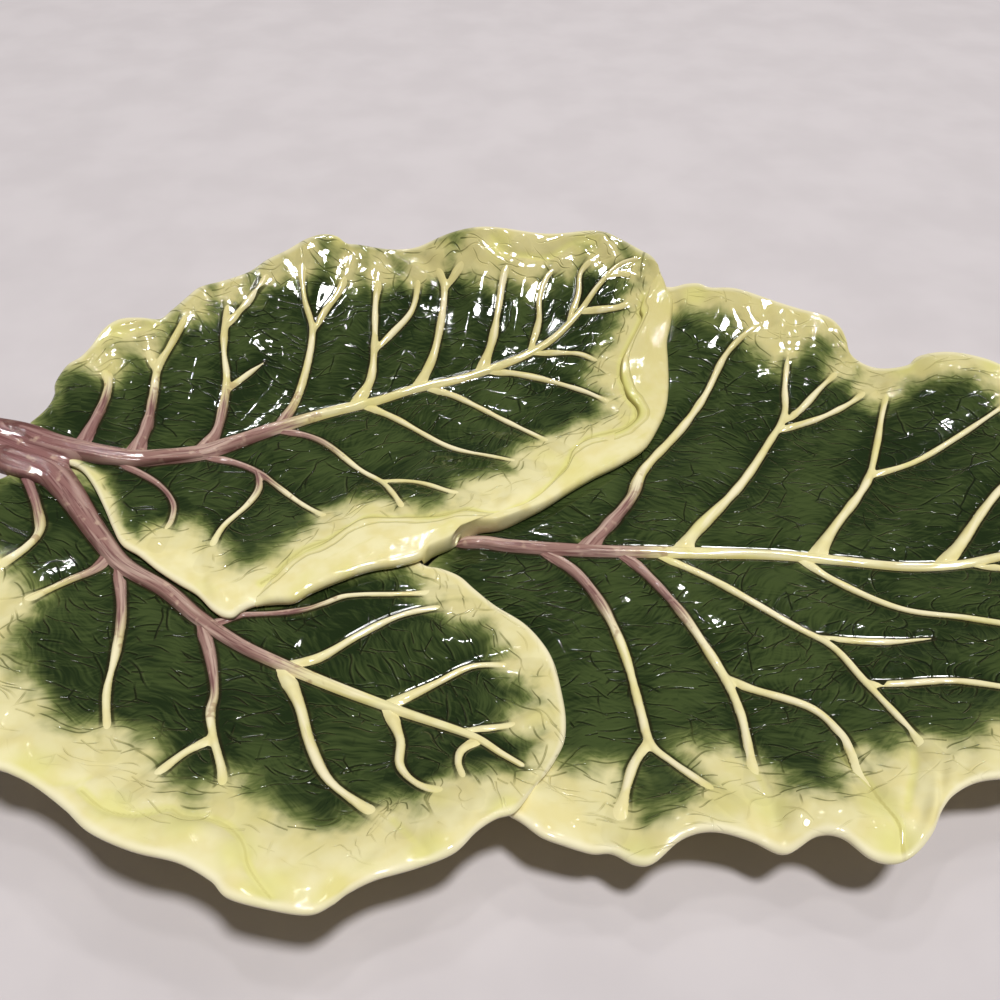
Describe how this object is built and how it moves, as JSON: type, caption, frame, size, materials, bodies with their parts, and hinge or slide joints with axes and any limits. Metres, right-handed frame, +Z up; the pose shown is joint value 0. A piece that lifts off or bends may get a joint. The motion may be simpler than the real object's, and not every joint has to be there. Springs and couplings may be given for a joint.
{
  "type": "serving platter",
  "caption": "Long serving platter laid up from overlapping chard leaves in glazed earthenware, with rose stalks, cream ribs and a ruffled cream rim on a low foot ring",
  "frame": {"origin": "centre of the platter's outline, on the surface that the foot ring stands on", "axes": "+X along the platter from the stalk to the tip of the right leaf, +Y across it from the front rim to the higher back rim, +Z up"},
  "size_m": [0.51, 0.324, 0.0564],
  "materials": {
    "leaf_green": "dark green slip brushed under clear gloss glaze, on earthenware",
    "rib_rose": "rose to plum underglaze under clear gloss glaze, on earthenware",
    "rib_cream": "cream under clear gloss glaze, on earthenware",
    "rim_cream": "cream with straw-coloured glaze pools, clear gloss glaze, on earthenware",
    "clay_foot": "cream glaze wiped off the standing edge, on earthenware"
  },
  "bodies": {
    "root": {"right_leaf": "leaf_green", "front_leaf": "leaf_green", "back_leaf": "leaf_green", "right_midrib": "rib_rose", "front_midrib": "rib_rose", "back_midrib": "rib_rose", "back_leaf_edge": "rim_cream", "stalk": "rib_rose", "foot_ring": "clay_foot", "back_rib_1": "rib_cream", "back_rib_2": "rib_cream", "back_rib_3": "rib_cream", "back_rib_4": "rib_cream", "back_rib_5": "rib_cream", "back_rib_6": "rib_cream", "back_rib_7": "rib_cream", "back_rib_8": "rib_cream", "back_rib_9": "rib_cream", "back_rib_10": "rib_cream", "back_rib_11": "rib_cream", "back_rib_12": "rib_cream", "back_rib_13": "rib_cream", "back_rib_14": "rib_cream", "back_rib_15": "rib_cream", "back_rib_16": "rib_cream", "back_rib_17": "rib_cream", "back_rib_18": "rib_cream", "front_rib_1": "rib_cream", "front_rib_2": "rib_cream", "front_rib_3": "rib_cream", "front_rib_4": "rib_cream", "front_rib_5": "rib_cream", "front_rib_6": "rib_cream", "front_rib_7": "rib_cream", "front_rib_8": "rib_cream", "front_rib_9": "rib_cream", "front_rib_10": "rib_cream", "front_rib_11": "rib_cream", "right_rib_1": "rib_cream", "right_rib_2": "rib_cream", "right_rib_3": "rib_cream", "right_rib_4": "rib_cream", "right_rib_5": "rib_cream", "right_rib_6": "rib_cream", "right_rib_7": "rib_cream", "right_rib_8": "rib_cream", "right_rib_9": "rib_cream", "right_rib_10": "rib_cream", "right_rib_11": "rib_cream"}
  },
  "joints": []
}
